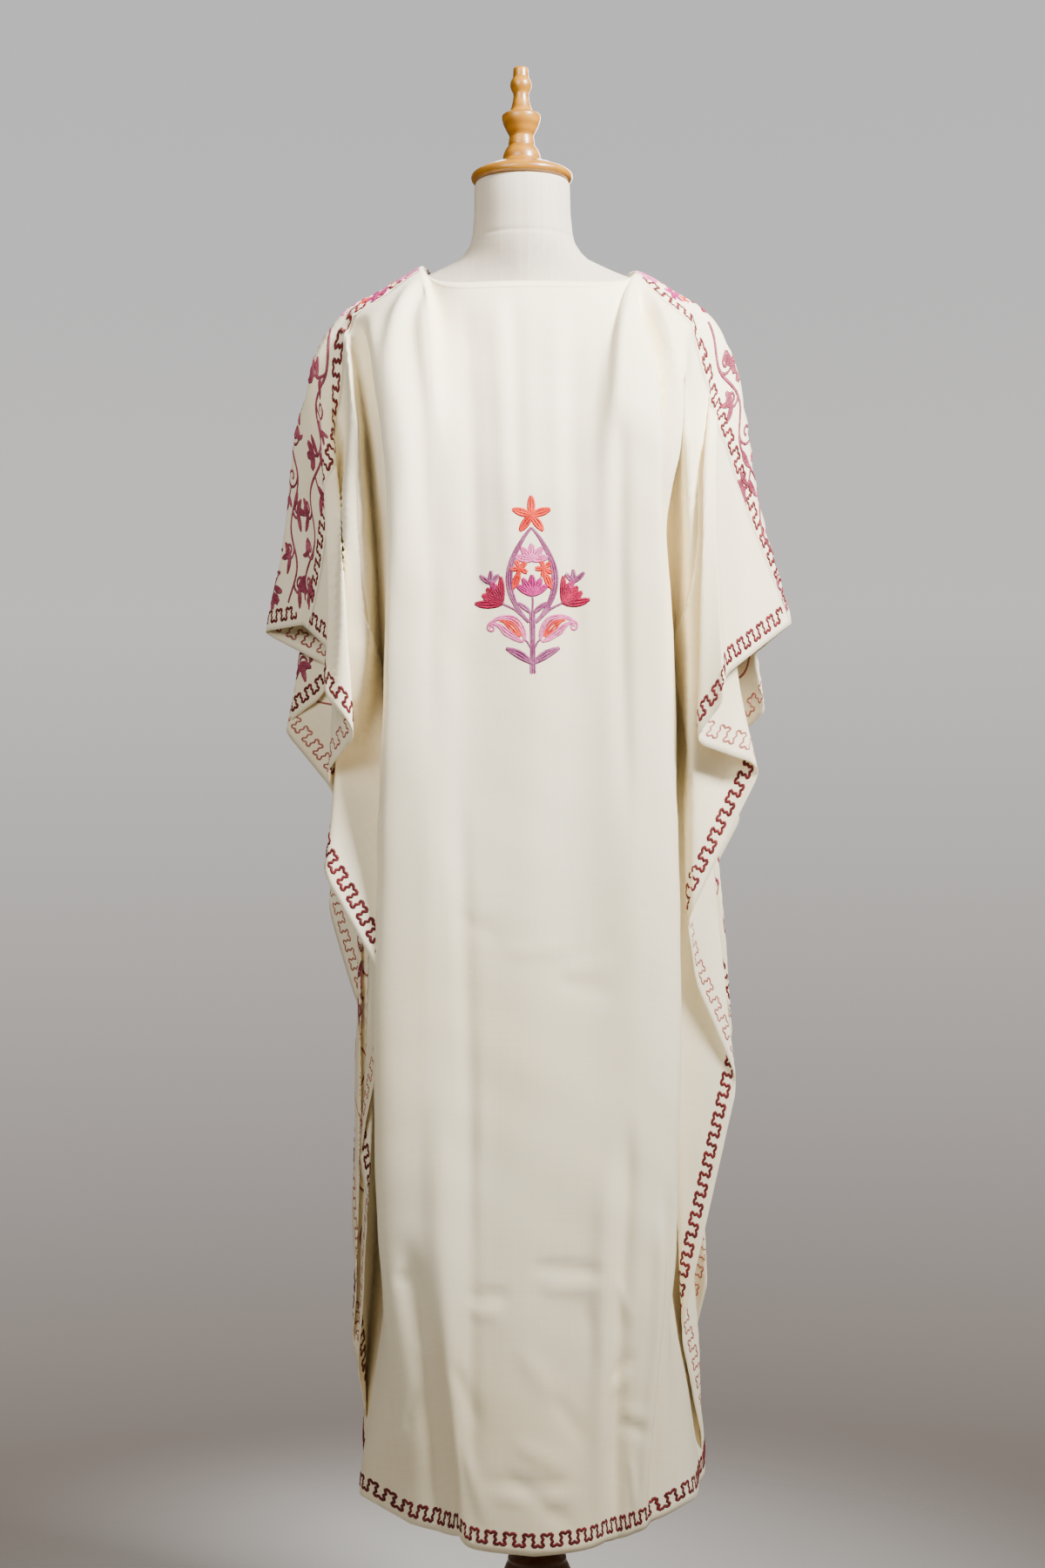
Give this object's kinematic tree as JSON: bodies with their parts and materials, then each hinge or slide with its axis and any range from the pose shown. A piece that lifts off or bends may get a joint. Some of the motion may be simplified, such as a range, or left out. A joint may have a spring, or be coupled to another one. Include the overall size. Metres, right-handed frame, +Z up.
{
  "type": "kaftan on a dress form",
  "caption": "Wide embroidered kaftan cut as a back and a front panel, draped in folds on a limbless dress form with a turned wooden stand.",
  "frame": {"origin": "on the floor, under the middle of the dress form and its stand", "axes": "+Z up, the garment's back faces -Y and its front faces +Y, +X to the right of someone who looks at the back"},
  "size_m": [0.5753, 0.386, 1.8138],
  "materials": {
    "kaftan_cloth": "ivory plain weave with rose and mauve chain stitch",
    "form_cover": "pale linen cover",
    "honey_wood": "honey-coloured lacquered pine",
    "brown_wood": "dark brown polished wood"
  },
  "bodies": {
    "root": {"back_panel": "kaftan_cloth", "front_panel": "kaftan_cloth", "torso": "form_cover", "neck_cap_finial": "honey_wood", "pole": "brown_wood", "hub": "brown_wood", "leg_1": "brown_wood", "leg_2": "brown_wood", "leg_3": "brown_wood", "leg_4": "brown_wood"}
  },
  "joints": []
}
